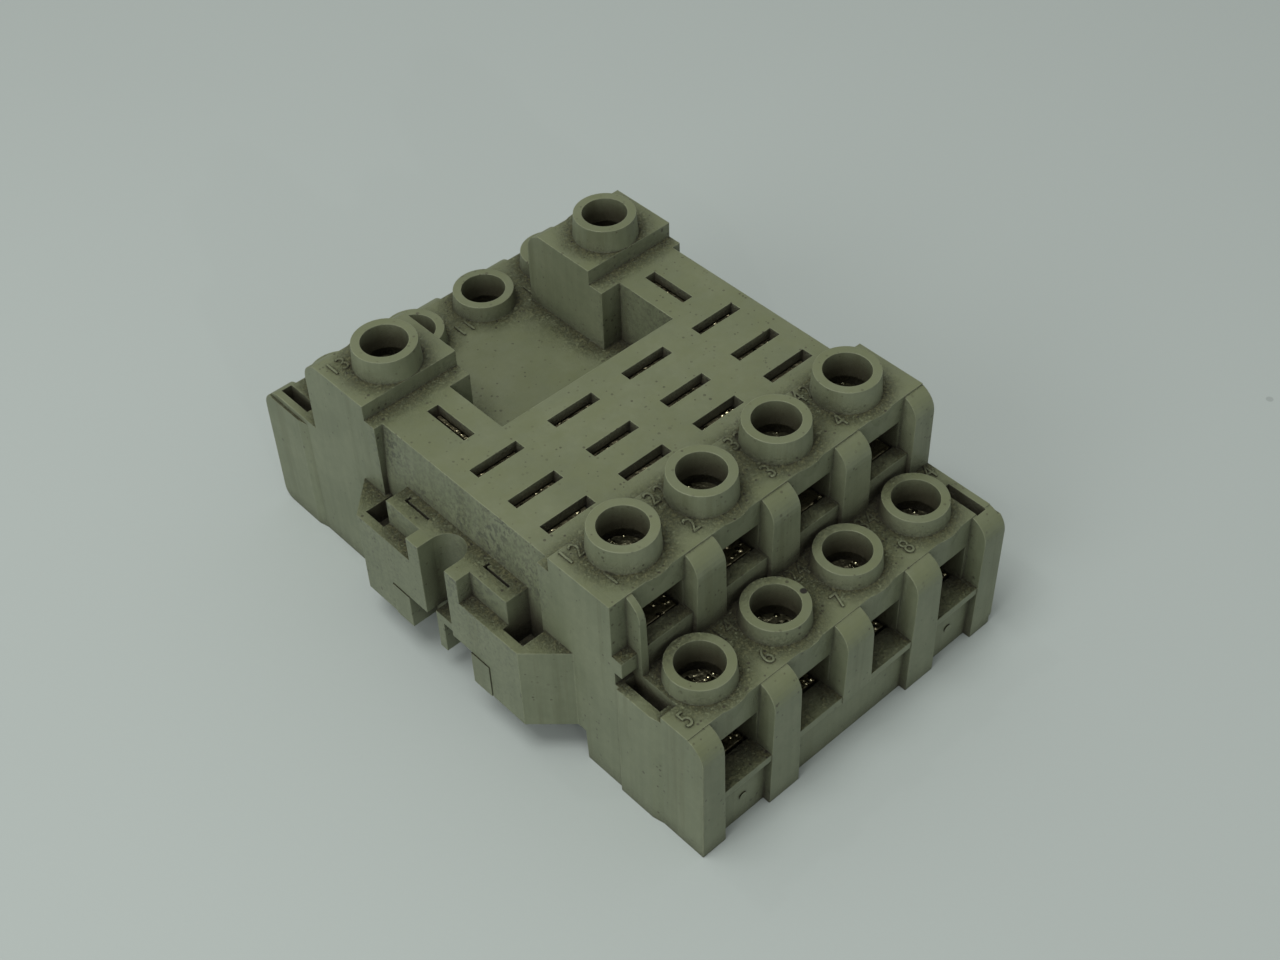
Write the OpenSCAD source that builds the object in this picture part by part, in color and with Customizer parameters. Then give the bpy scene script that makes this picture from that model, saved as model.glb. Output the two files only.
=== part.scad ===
// Relay socket for a plug-in four-pole relay: a moulded body with fourteen screw
// terminals, clipped on a 35 mm rail or screwed down through its two side ears.
// +X is to the right, +Y to the end that carries the coil towers, +Z is up.
// The origin is at the middle of the footprint, on the surface it stands on.

/* [Body] */
// Length of the deck between the two end blocks
deck_l = 24.9; // [24.2:0.1:32]
// How far the rear end face is cut back from a mirror image of the front end
rear_trim = 0.8; // [0.4:0.1:1]
// Width of the body at its side walls
body_w = 42.2; // [41.6:0.2:46]
// Width of the deck between the two end blocks
deck_w = 40; // [39:0.2:41]
// Height of the deck that the relay sits on
deck_z = 24.7; // [24.2:0.1:26]
// Height of the low terminal tier
low_tier_z = 16.7; // [16.2:0.1:17.2]
// Rise of the high terminal tier above the deck
plate_rise = 1.9; // [1:0.1:3]
// Thickness of the outer walls
wall = 1.8; // [1.4:0.1:2.2]
// Depth of each end block, from its end face to the narrower middle
block_d = 22.05; // [21.6:0.1:22.6]
// Depth of the raised plates of the high tier behind the end face
plate_d = 20.4; // [20.2:0.1:21]
// Height of the sunken floor between the coil towers
pocket_z = 16.7; // [15.5:0.1:17.5]
// Distance of the sunken floor's front edge from the front of the deck
pocket_front_d = 16.15; // [15.6:0.05:16.7]
// Half the width of the sunken floor in front of the towers
pocket_in_x = 11.75; // [11:0.05:12]
// Half the clear width between the coil towers
tower_in_x = 9.1; // [8.8:0.1:9.4]

/* [Terminals] */
// Spacing of the terminal columns across the body
pitch = 10; // [9.8:0.1:10.2]
// Distance of the low terminal screws from the end face
low_screw_d = 6.7; // [6.3:0.1:7.1]
// Distance of the high terminal screws from the end face
high_screw_d = 16.7; // [16.3:0.1:17.1]
// Height of the sill under a low wire entry
low_sill_z = 7.7; // [7.4:0.1:8.3]
// Height of the sill under a high wire entry
high_sill_z = 19.7; // [19.4:0.1:20]
// Clear height of a low wire entry
low_entry_h = 5; // [4.6:0.1:5.2]
// Clear height of a high wire entry
high_entry_h = 3.7; // [3.4:0.1:3.9]
// Depth of the low lintel behind the end face
low_lintel_d = 2.05; // [1.85:0.05:2.4]
// Depth of the high lintel behind the end face
high_lintel_d = 12; // [11.7:0.1:12.4]
// Depth of the wall under a low sill behind the end face
low_wall_d = 0.9; // [0.6:0.1:1.2]
// Depth of the wall under a high sill behind the end face
high_wall_d = 10.7; // [10.5:0.1:11]
// Thickness of the lip along the front of a low sill
lip_t = 0.9; // [0.6:0.1:1.4]
// Width of the ribs between two terminals, at their foot
rib_w = 4.1; // [3.8:0.1:4.4]
// Width of the outermost ribs
side_rib_w = 3; // [2.8:0.1:3.2]
// Depth of the high ribs' front face behind the end face
high_rib_d = 10.2; // [10:0.1:10.4]
// Radius on the top front edge of a rib
rib_r = 2.6; // [1:0.2:3]
// Taper of a rib on each side over its height
rib_draft = 0.3; // [0:0.05:0.4]

/* [Screw collars] */
// Radius of the screwdriver hole in a collar
collar_hole_r = 2.5; // [2.4:0.05:2.6]
// Outer radius of a collar at its rim
collar_r = 3.45; // [3.2:0.05:3.6]
// Extra radius of a collar at its root
collar_flare = 0.2; // [0:0.05:0.4]
// Height of the collars of the low tier
low_collar_h = 1.9; // [1:0.1:3]
// Height of the collars of the high tier
high_collar_h = 2.7; // [1:0.1:3.5]
// Depth of the screwdriver hole, from the rim to the wider room for the screw head
collar_hole_l = 3.1; // [2.8:0.1:3.3]

/* [Blade slots] */
// Length of a blade slot
slot_l = 5.9; // [5.4:0.1:6.2]
// Width of a blade slot
slot_w = 1.4; // [1.1:0.1:1.6]
// Distance of the front slot row from the front of the deck
row_a_d = 2.55; // [2.2:0.05:2.9]
// Distance of the middle slot row from the front of the deck
row_b_d = 7.25; // [6.9:0.05:7.6]
// Distance of the rear slot row from the front of the deck
row_c_d = 13; // [12.7:0.05:13.3]
// Distance of the coil slots from the front of the deck
coil_d = 20.25; // [20:0.05:20.6]

/* [Side walls] */
// How far the thick parts of the side walls stand out
pad_t = 0.3; // [0.1:0.05:0.5]
// Length of the sloping flank of such a part
pad_flank = 1.3; // [0.6:0.1:1.6]
// Distance of the inner face of a hook pocket from the middle of the body
snap_in_x = 19; // [18.8:0.05:19.1]
// Width of a hook pocket
snap_w = 1.3; // [1:0.1:1.5]
// Length of a hook pocket
snap_l = 4.85; // [4:0.05:5]

/* [Side ears] */
// Width over both side ears
ears_w = 49.9; // [49.3:0.2:52]
// Length of an ear along its outer face
ear_l = 25.4; // [24.6:0.2:26]
// Length of the slanting run from an ear's outer face to the body
ear_root = 3.7; // [3:0.1:4.2]
// Height of the ears' undersides
ear_bottom_z = 4.2; // [3.8:0.1:4.6]
// Height of the ears' low ledges
ear_ledge_z = 15.2; // [14.4:0.1:16]
// Height of the seat for the fixing screw's head
ear_seat_z = 18.5; // [17.8:0.1:19.2]
// Length of the seat along the ear
seat_l = 7.9; // [7.4:0.1:8.4]
// Length of the clip post behind the seat
post_l = 18.8; // [18:0.1:19.2]
// Distance of the clip post's face from the middle of the body
post_x = 23.2; // [22.8:0.1:23.6]
// Width of the notch for the fixing screw
notch_w = 4.2; // [4.1:0.1:4.6]
// Distance from the middle of the body to a fixing screw
notch_x = 23; // [22.8:0.1:23.4]
// Length of the through hole at each end of the clip post
ear_hole_l = 3; // [2.6:0.1:3.2]

/* [Base cover] */
// Length of the wing under an ear, over its two lugs
wing_l = 15.5; // [15:0.1:16]
// Height of the top of the wing
wing_z = 8.7; // [8.4:0.1:9.2]
// Length of a lug along the body
lug_l = 2.75; // [2:0.05:3]
// Height of the snap fingers in the ear holes
finger_z = 12.8; // [11:0.1:14]

/* [Rail fixing] */
// Width of the mounting rail
rail_w = 35; // [34.8:0.1:35.2]
// Thickness of the mounting rail's flange
rail_t = 1; // [0.8:0.1:1.1]
// How far the fixed hook reaches under the rail
hook_l = 1.5; // [1:0.1:2]
// Travel of the rail latch
latch_travel = 2; // [1:0.1:2.4]
// Width of the rail latch
latch_w = 9.6; // [8:0.2:11]

/* [Metal parts] */
// Thickness of the contact strip
strip_t = 0.8; // [0.6:0.05:0.9]
// Thickness of the leaves that grip a relay blade
leaf_t = 0.4; // [0.3:0.05:0.5]
// Width of the contact strip
strip_w = 5.2; // [4.6:0.1:5.4]
// Thickness of the wire clamp plate
clamp_t = 0.8; // [0.6:0.1:1]
// Gap for the wire under an open low clamp plate
low_clamp_gap = 2.8; // [1:0.1:3.2]
// Gap for the wire under an open high clamp plate
high_clamp_gap = 1.7; // [0.6:0.1:2]
// Radius of a terminal screw's head, too wide for the collar hole
head_r = 2.75; // [2.55:0.05:2.8]
// Height of a terminal screw's head
head_h = 3; // [2:0.1:3.2]
// Radius of a terminal screw's shank
shank_r = 1.45; // [1.2:0.05:1.5]

/* [Hidden] */
$fn = 48;

moulding_colour = "#6f7058";
cover_colour = "#676850";
latch_colour = "#5d5e4a";
contact_colour = "#b8a468";
clamp_colour = "#b4b2a8";
screw_colour = "#a99a74";

// Clearance between parts that fit together, round a screw's head and round its shank
fit = 0.1;
head_room = 0.15;
shank_room = 0.45;
// Margin by which a cut runs out of the material
over = 1;

// Heights worked out from the driving sizes
high_tier_z = deck_z + plate_rise;
low_lintel_z = low_sill_z + low_entry_h;
high_lintel_z = high_sill_z + high_entry_h;
cover_top_z = low_sill_z - strip_t;
cover_floor_t = 1.5;
skin_t = 1.2;
well_top_z = deck_z - skin_t;
rail_gap_z = ear_bottom_z - rail_t - fit;
latch_top_z = rail_gap_z - fit;
latch_bottom_z = 0.6;
latch_step_z = 1.8;
ledge_z = low_tier_z - 0.7;

// Plan
body_l = 2 * block_d + deck_l - rear_trim;
stepped_rib_d = high_rib_d + 1.5;
corner_r = 1.4;
chamber_w = pitch - rib_w;
chamber_d = 3.5;
chamber_back = 3.5;
channel_l = rail_w + 4 * fit;
cover_x = body_w / 2 - wall - fit;
well_w = 2.5;
well_l = strip_w + 0.5;
well_floor = 2.3;
fork_half_w = well_w / 2 - 0.35;
ear_hole_in_x = body_w / 2 - 0.6;
ear_hole_out_x = post_x + 0.75;
stop_y = body_l / 2 - 4.9;
stop_l = 1.2;
stop_w = 3;
columns = [-1.5, -0.5, 0.5, 1.5];

// Distance of a place on the deck from the front end or from the rear end
function own_d(d, rear) = rear ? block_d + deck_l - d : block_d + d;

// Which terminal is where: [column, at the rear end, on the high tier, slot's distance]
TERMINALS = concat(
    [for (c = columns) [c * pitch, false, false, own_d(row_b_d, false)]],
    [for (c = columns) [c * pitch, false, true, own_d(row_a_d, false)]],
    [for (c = columns) [c * pitch, true, false, own_d(row_c_d, true)]],
    [for (c = [-1.5, 1.5]) [c * pitch, true, true, own_d(coil_d, true)]]);

function screw_d(t) = t[2] ? high_screw_d : low_screw_d;
function sill_z(t) = t[2] ? high_sill_z : low_sill_z;
function lintel_z(t) = t[2] ? high_lintel_z : low_lintel_z;
function lintel_d(t) = t[2] ? high_lintel_d : face_d(t[1]) + low_lintel_d;
function tier_z(t) = t[2] ? high_tier_z : low_tier_z;
function rim_z(t) = t[2] ? high_tier_z + high_collar_h : low_tier_z + low_collar_h;
function strip_z(t) = sill_z(t) - strip_t;
function clamp_z(t) = sill_z(t) + (t[2] ? high_clamp_gap : low_clamp_gap);
function is_coil(t) = t[1] && t[2];

// Distance at which an end face lies in its end's own measure
function face_d(rear) = rear ? rear_trim : 0;

function arc(cx, cy, r, a0, a1, n = 8) =
    [for (i = [0:n]) let (a = a0 + (a1 - a0) * i / n) [cx + r * cos(a), cy + r * sin(a)]];

// Outline of a bent strip of thickness t that follows the middle line p
function side_point(p, i, h) =
    let (a = p[max(i - 1, 0)], b = p[i], c = p[min(i + 1, len(p) - 1)],
         u = (i == 0 ? c - b : b - a) / norm(i == 0 ? c - b : b - a),
         v = (i == len(p) - 1 ? b - a : c - b) / norm(i == len(p) - 1 ? b - a : c - b),
         n = [-u[1] - v[1], u[0] + v[0]])
    b + n * h / (1 + u * v);
function ribbon(p, t) = concat(
    [for (i = [0:len(p) - 1]) side_point(p, i, t / 2)],
    [for (i = [len(p) - 1:-1:0]) side_point(p, i, -t / 2)]);

// Children are drawn from an end inwards, at the front end or at the rear end
module at_end(rear = false) {
    mirror([0, rear ? 1 : 0, 0]) translate([0, -body_l / 2 - face_d(rear), 0]) children();
}

// Children are drawn on the right-hand side, or mirrored to the left-hand side
module at_side(left = false) {
    mirror([left ? 1 : 0, 0, 0]) children();
}

module both_sides() {
    at_side(false) children();
    at_side(true) children();
}

// Extrudes an outline of the Y-Z plane along X between x0 and x1
module along_x(x0, x1) {
    translate([x0, 0, 0]) rotate([90, 0, 90]) linear_extrude(x1 - x0) children();
}

// Extrudes an outline of the X-Z plane along Y between y0 and y1
module along_y(y0, y1) {
    translate([0, y1, 0]) rotate([90, 0, 0]) linear_extrude(y1 - y0) children();
}

// A box between two opposite corners, given in any order
module box(a, b) {
    low = [for (i = [0:2]) min(a[i], b[i])];
    size = [for (i = [0:2]) abs(b[i] - a[i])];
    translate(low) cube(size);
}

// ---- Housing ------------------------------------------------------------

// Stepped section of an end block, from its end inwards
module block_section(rear) {
    lip_d = face_d(rear) + 0.1;
    wall_d = face_d(rear) + low_wall_d;
    lintel_d = face_d(rear) + low_lintel_d;
    foot_d = body_l / 2 + face_d(rear) - channel_l / 2;
    polygon([
        [wall_d, 0], [wall_d, low_sill_z - lip_t], [lip_d, low_sill_z - lip_t], [lip_d, low_sill_z],
        [lintel_d, low_sill_z + 0.15], [lintel_d, low_tier_z],
        [high_wall_d, low_tier_z], [high_wall_d, high_sill_z],
        [high_lintel_d, high_sill_z + 0.1], [high_lintel_d, high_tier_z],
        [plate_d, high_tier_z], [plate_d, deck_z], [block_d, deck_z],
        [block_d, ear_bottom_z], [foot_d + 0.2, ear_bottom_z], [foot_d, 0]]);
}

// Rounded side view of a rib, from its front at d0 back to d1
module rib_view(d0, d1, z0, z1, foot_r) {
    polygon(concat([[d1, z0]], arc(d0 + foot_r, z0 + foot_r, foot_r, 270, 180),
        arc(d0 + rib_r, z1 - rib_r, rib_r, 180, 90), [[d1, z1]]));
}

// A rib between x0 and x1 that tapers upwards on the sides named by taper
module rib(x0, x1, d0, d1, z0, z1, taper = [1, 1], foot_r = 0.1) {
    intersection() {
        along_x(x0, x1) rib_view(d0, d1, z0, z1, foot_r);
        along_y(d0 - over, d1 + over)
            polygon([[x0, z0], [x1, z0], [x1 - taper[1] * rib_draft, z1], [x0 + taper[0] * rib_draft, z1]]);
    }
}

// Ribs on both sides of the wire entries of one end
module low_ribs(rear) {
    back = face_d(rear) + low_lintel_d + 2;
    side_x = body_w / 2;
    foot_r = rear ? corner_r : 0.1;
    at_end(rear) {
        rib(side_x - side_rib_w, side_x, face_d(rear), back, 0, low_tier_z, [1, 0], foot_r);
        rib(-side_x, side_rib_w - side_x, face_d(rear), back, 0, low_tier_z, [0, 1], foot_r);
        for (x = [-pitch, pitch])
            rib(x - rib_w / 2, x + rib_w / 2, face_d(rear), back, 0, low_tier_z);
        rib(-rib_w / 2, rib_w / 2, face_d(rear), back, low_sill_z - lip_t, low_tier_z);
    }
}

// Side ribs of the high tier; the one over a recessed hook pocket is thin and stepped
module high_side_rib(stepped) {
    back = high_lintel_d + 2;
    side_x = body_w / 2;
    foot_z = low_tier_z - over;
    if (stepped) {
        rib(snap_in_x, side_x, stepped_rib_d, back, foot_z, high_tier_z, [0, 0]);
        rib(side_x - side_rib_w, snap_in_x + fit, high_rib_d, back, foot_z, high_tier_z, [1, 0]);
    } else
        rib(side_x - side_rib_w, side_x, high_rib_d, back, foot_z, high_tier_z, [1, 0]);
}

module high_ribs() {
    back = high_lintel_d + 2;
    foot_z = low_tier_z - over;
    at_end(false) {
        for (x = [-pitch, 0, pitch])
            rib(x - rib_w / 2, x + rib_w / 2, high_rib_d, back, foot_z, high_tier_z);
        at_side(false) high_side_rib(false);
        at_side(true) high_side_rib(true);
    }
    at_end(true) {
        both_sides()
            rib(tower_in_x, 1.5 * pitch - chamber_w / 2, high_rib_d, back, foot_z, high_tier_z, [0, 1]);
        at_side(false) high_side_rib(true);
        at_side(true) high_side_rib(false);
    }
}

// One screw collar, with the lintel swelling out a little towards its top edge
module collar(t) {
    h = t[2] ? high_collar_h : low_collar_h;
    root_r = collar_r + collar_flare;
    swell_r = screw_d(t) - lintel_d(t);
    swell_h = tier_z(t) - lintel_z(t) - 0.3;
    at_end(t[1]) translate([t[0], screw_d(t), 0]) {
        translate([0, 0, tier_z(t) - over]) cylinder(r = root_r, h = over);
        translate([0, 0, tier_z(t)]) cylinder(r1 = root_r, r2 = collar_r, h = h);
        intersection() {
            translate([0, 0, tier_z(t) - swell_h]) cylinder(r1 = swell_r - 0.2, r2 = swell_r + 0.28, h = swell_h);
            box([-chamber_w / 2, -swell_r - over, 0], [chamber_w / 2, 0, high_tier_z + over]);
        }
    }
}

// Screwdriver hole, room for the head, wire chamber, relief under the screw, contact's cavity
module terminal_cuts(t) {
    front = t[2] ? high_wall_d : 0;
    front_stop = t[2] ? high_lintel_d + 0.4 : chamber_d - 0.4;
    back = screw_d(t) + chamber_back;
    relief_z = t[2] ? strip_z(t) - 4 : 0;
    at_end(t[1]) translate([t[0], 0, 0]) {
        translate([0, screw_d(t), lintel_z(t) - over]) {
            cylinder(r = collar_hole_r, h = rim_z(t) - lintel_z(t) + 2 * over);
            cylinder(r = head_r + head_room, h = rim_z(t) - lintel_z(t) + over - collar_hole_l);
        }
        box([-chamber_w / 2, front - over, sill_z(t)], [chamber_w / 2, back, lintel_z(t)]);
        box([-chamber_w / 2, front_stop, strip_z(t)], [chamber_w / 2, back, sill_z(t) + over]);
        translate([0, screw_d(t), relief_z]) cylinder(r = shank_r + shank_room, h = sill_z(t) - relief_z);
        if (is_coil(t))
            coil_cuts(t, back);
        else
            fork_cuts(t, back);
    }
}

// Channel, well and blade slot for a fork that lies across the body
module fork_cuts(t, back) {
    w = strip_w / 2 + fit;
    channel_z = t[2] ? strip_z(t) : cover_top_z - over;
    well_z = t[2] ? strip_z(t) - well_floor : cover_top_z - over;
    box([-w, back - over, channel_z], [w, t[3], strip_z(t) + strip_t + fit]);
    translate([0, t[3], 0]) {
        box([-well_l / 2, -well_w / 2, well_z], [well_l / 2, well_w / 2, well_top_z]);
        box([-slot_l / 2, -slot_w / 2, well_top_z - over], [slot_l / 2, slot_w / 2, deck_z + over]);
    }
}

// The same for a coil fork, which lies along the body
module coil_cuts(t, back) {
    w = strip_w / 2 + fit;
    box([-w, back - over, strip_z(t)], [w, t[3] + well_l / 2, strip_z(t) + strip_t + fit]);
    translate([0, t[3], 0]) {
        box([-well_w / 2, -well_l / 2, strip_z(t) - well_floor], [well_w / 2, well_l / 2, well_top_z]);
        box([-slot_w / 2, -slot_l / 2, well_top_z - over], [slot_w / 2, slot_l / 2, deck_z + over]);
    }
}

// Narrower middle of the body, with its side walls drawn in towards the deck
module middle() {
    foot_x = deck_w / 2 + 0.5;
    bend_z = ear_seat_z - 1;
    end_y = body_l / 2 - block_d + over;
    along_y(-end_y, end_y)
        polygon([[-foot_x, ear_bottom_z], [foot_x, ear_bottom_z], [foot_x, bend_z],
            [deck_w / 2, deck_z], [-deck_w / 2, deck_z], [-foot_x, bend_z]]);
}

// The side ear on the right: ledges, screw-head seat, clip post, notch and holes
module ear() {
    out_x = ears_w / 2;
    in_x = deck_w / 2 - 1;
    root_x = body_w / 2;
    end_y = ear_l / 2;
    slit_t = 0.3;
    slit_x = root_x + 0.45;
    difference() {
        union() {
            translate([0, 0, ear_bottom_z]) linear_extrude(ear_ledge_z - ear_bottom_z)
                polygon([[in_x, -end_y - ear_root], [root_x, -end_y - ear_root], [out_x, -end_y],
                    [out_x, end_y], [root_x, end_y + ear_root], [in_x, end_y + ear_root]]);
            box([in_x, -post_l / 2, ear_ledge_z - over], [post_x, post_l / 2, ear_seat_z]);
            box([in_x, -seat_l / 2, ear_ledge_z - over], [out_x, seat_l / 2, ear_seat_z]);
        }
        screw_notch(ear_seat_z);
        for (s = [-1, 1]) {
            // through hole beside the post, and the thin slit for the hold-down clip
            box([ear_hole_in_x, s * post_l / 2, -over],
                [ear_hole_out_x, s * (post_l / 2 + ear_hole_l), ear_seat_z + over]);
            box([slit_x, s * 6.2 - 1.9, ear_ledge_z - 2],
                [slit_x + slit_t, s * 6.2 + 1.9, ear_seat_z + over]);
            box([slit_x - 0.45, s * 6.2 + 1.9 - slit_t, ear_ledge_z - 2],
                [slit_x + slit_t, s * 6.2 + 1.9, ear_seat_z + over]);
            // groove for the foot of the cover's snap finger
            box([root_x, s * (wing_l / 2 - over), -over],
                [ear_hole_out_x, s * (post_l / 2 + over), ear_bottom_z + cover_floor_t + fit]);
        }
    }
}

// Room for the wing of the base cover, through the side wall on the right
module wing_room() {
    box([body_w / 2 - wall, -wing_l / 2 - fit, -over], [ears_w / 2 + over, wing_l / 2 + fit, wing_z + fit]);
}

// Notch for a fixing screw, open to the right and up to the height top_z
module screw_notch(top_z) {
    translate([notch_x, 0, -over]) cylinder(r = notch_w / 2, h = top_z + 2 * over);
    box([notch_x, -notch_w / 2, -over], [ears_w, notch_w / 2, top_z + over]);
}

// Thick part of the right side wall between d0 and d1, with a sloping flank before or after it
module side_pad(d0, d1, flank_before, flank_after) {
    in_x = body_w / 2 - over;
    out_x = body_w / 2 + pad_t;
    start = d0 - flank_before;
    end = d1 + flank_after;
    intersection() {
        linear_extrude(ledge_z)
            polygon([[in_x, start], [body_w / 2, start], [out_x, d0],
                [out_x, d1], [body_w / 2, end], [in_x, end]]);
        along_x(in_x, out_x) rib_view(start, end, 0, low_tier_z, corner_r);
    }
}

// Pocket that a hook of the base cover snaps into
module hook_pocket(d0) {
    box([snap_in_x, d0, cover_top_z + 2], [snap_in_x + snap_w, d0 + snap_l, low_tier_z + over]);
}

// The pad beside a recessed hook pocket, which is square at its top
module wall_pad() {
    start = 6.75 - pad_flank;
    out_x = body_w / 2 + pad_t;
    linear_extrude(ledge_z)
        polygon([[body_w / 2 - over, start], [body_w / 2, start], [out_x, start + pad_flank],
            [out_x, stepped_rib_d - 0.5], [body_w / 2 - over, stepped_rib_d - 0.5]]);
}

module side_pads() {
    for (rear = [false, true]) at_end(rear) {
        at_side(!rear) wall_pad();
        at_side(rear) side_pad(face_d(rear), face_d(rear) + 6.4, 0, pad_flank);
    }
}

module hook_pockets() {
    for (rear = [false, true]) at_end(rear) {
        at_side(!rear) {
            hook_pocket(stepped_rib_d - 5.2);
            // the wall outside this pocket stands lower than the tier
            box([snap_in_x, stepped_rib_d - 6.1, ledge_z],
                [body_w / 2 + over, stepped_rib_d, low_tier_z + over]);
        }
        at_side(rear) hook_pocket(face_d(rear) + 1.9);
    }
}

// Sunken floor between the towers, wider in front of them
module relay_pocket() {
    top_z = high_tier_z + high_collar_h + over;
    at_end(true) {
        box([-tower_in_x, high_wall_d - 0.3, pocket_z], [tower_in_x, block_d + over, top_z]);
        box([-pocket_in_x, block_d + 0.4, pocket_z], [pocket_in_x, own_d(pocket_front_d, true), top_z]);
    }
}

// Small round marks left by the mould on the front wall
module ejector_marks() {
    for (x = [-1.5 * pitch, 1.5 * pitch])
        at_end(false) translate([x, low_wall_d + 0.05, 3.4]) rotate([90, 0, 0]) cylinder(r = 0.45, h = 0.2);
}

module housing() {
    color(moulding_colour) difference() {
        union() {
            for (rear = [false, true]) {
                at_end(rear) along_x(-body_w / 2, body_w / 2) block_section(rear);
                low_ribs(rear);
            }
            high_ribs();
            middle();
            both_sides() ear();
            side_pads();
            for (t = TERMINALS)
                collar(t);
            ejector_marks();
        }
        for (t = TERMINALS)
            terminal_cuts(t);
        relay_pocket();
        both_sides() wing_room();
        // hollow underside that the base cover closes
        box([-body_w / 2 + wall, -body_l / 2 + low_wall_d + wall, -over],
            [body_w / 2 - wall, body_l / 2 - low_wall_d - wall, cover_top_z]);
        // way out for the tail of the rail latch
        along_y(0, body_l / 2 + over) latch_section(2 * fit, latch_top_z + fit);
        hook_pockets();
    }
}

// ---- Base cover ---------------------------------------------------------

// The wing on the right that fills the gap under the ear, with its snap lugs and fingers
module wing() {
    in_x = cover_x - over;
    out_x = ears_w / 2 + fit;
    web_x = body_w / 2 + 0.8;
    rib_x = notch_x + 1.1;
    difference() {
        union() {
            box([in_x, -wing_l / 2, ear_bottom_z], [web_x, wing_l / 2, wing_z]);
            for (s = [-1, 1]) {
                box([in_x, s * wing_l / 2, ear_bottom_z], [out_x, s * (wing_l / 2 - lug_l), wing_z]);
                snap_finger(s);
            }
        }
        screw_notch(wing_z);
        box([0, -wing_l / 2 - over, cover_top_z], [cover_x + 2 * fit, wing_l / 2 + over, wing_z + over]);
    }
    // stiffening rib across the mouth of the notch
    box([deck_w / 2, -1.2, wing_z - 1.1], [rib_x, 1.8, wing_z]);
    box([deck_w / 2, 0.7, ear_bottom_z - 1], [rib_x, 1.8, wing_z]);
}

// Finger that stands in the ear hole; s is the side of the wing it stands on
module snap_finger(s) {
    y0 = post_l / 2 + 7 * fit;
    y1 = post_l / 2 + ear_hole_l - 2 * fit;
    x0 = body_w / 2 + fit;
    foot_z = ear_bottom_z + cover_floor_t;
    box([x0, s * (wing_l / 2 - over), ear_bottom_z], [ear_hole_out_x - fit, s * y1, foot_z]);
    box([x0, s * y0, ear_bottom_z], [x0 + 1.6, s * y1, finger_z]);
}

module base_cover() {
    end_y = body_l / 2 - low_wall_d - wall - fit;
    channel_y = channel_l / 2;
    foot_in_x = latch_w / 2 + 1.7;
    color(cover_colour) difference() {
        union() {
            // floor over the rail, and the thicker feet under the two end blocks
            box([-cover_x, -end_y, ear_bottom_z], [cover_x, end_y, cover_top_z]);
            for (s = [-1, 1])
                box([-cover_x, s * channel_y, 0], [cover_x, s * end_y, ear_bottom_z + over]);
            // fixed hook under the front edge of the rail
            along_x(-cover_x + 2, cover_x - 2)
                polygon([[-channel_y - over, latch_bottom_z], [-channel_y, latch_bottom_z],
                    [-channel_y + hook_l, latch_step_z], [-channel_y + hook_l, rail_gap_z],
                    [-channel_y - over, rail_gap_z]]);
            both_sides() wing();
        }
        // hollow feet
        for (sx = [-1, 1], sy = [-1, 1])
            box([sx * foot_in_x, sy * (channel_y + wall), -over],
                [sx * (cover_x - wall), sy * (end_y - wall), ear_bottom_z]);
        // room under the low terminal screws
        for (t = TERMINALS)
            if (!t[2])
                at_end(t[1]) translate([t[0], low_screw_d, ear_bottom_z - 2])
                    cylinder(r = shank_r + shank_room, h = cover_top_z);
        // guide for the rail latch and the post that stops it
        difference() {
            along_y(channel_y - over, body_l / 2) latch_section(2 * fit, latch_top_z + fit);
            box([-stop_w / 2, stop_y, latch_step_z], [stop_w / 2, stop_y + stop_l, ear_bottom_z]);
        }
        // pockets between the ribs of the floor
        for (c = columns, s = [-1, 1])
            box([c * pitch - 3.6, s * 3, -over], [c * pitch + 3.6, s * 13, ear_bottom_z + 0.8]);
    }
}

// ---- Rail latch ---------------------------------------------------------

// T-shaped section of the latch, or of its guide when it is drawn larger by room
module latch_section(room, top_z) {
    half = latch_w / 2 + room;
    neck = latch_w / 2 - 1.2 + room;
    polygon([[-half, latch_step_z - room], [-neck, latch_step_z - room], [-neck, latch_bottom_z - 4 * room],
        [neck, latch_bottom_z - 4 * room], [neck, latch_step_z - room], [half, latch_step_z - room],
        [half, top_z], [-half, top_z]]);
}

module rail_latch() {
    nose_y = channel_l / 2 - hook_l;
    tail_y = body_l / 2 - 0.4;
    window_w = stop_w + 4 * fit;
    window_front_y = stop_y - latch_travel - 2 * fit;
    color(latch_colour) difference() {
        intersection() {
            along_y(nose_y, tail_y) latch_section(0, latch_top_z);
            along_x(-latch_w, latch_w)
                polygon([[nose_y, latch_step_z], [nose_y, latch_top_z], [tail_y, latch_top_z],
                    [tail_y, latch_bottom_z], [channel_l / 2, latch_bottom_z]]);
        }
        // window round the stop post
        box([-window_w / 2, window_front_y, -over], [window_w / 2, stop_y + stop_l + fit, ear_bottom_z]);
        // slot for a screwdriver in the tail
        box([-2, tail_y - 2.2, -over], [2, tail_y - 1, ear_bottom_z]);
    }
}

// ---- Metal parts --------------------------------------------------------

// Two leaves that grip a blade, as one bent ribbon open at the top
module fork(base_z) {
    half = fork_half_w - leaf_t / 2;
    pinch = leaf_t / 2 + 0.18;
    foot_z = base_z + leaf_t / 2;
    top_z = well_top_z - fit;
    polygon(ribbon([
        [half - 0.25, top_z], [pinch, top_z - 1.8], [half, top_z - 4.6], [half, foot_z],
        [-half, foot_z], [-half, top_z - 4.6], [-pinch, top_z - 1.8], [-half + 0.25, top_z]], leaf_t));
}

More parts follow.
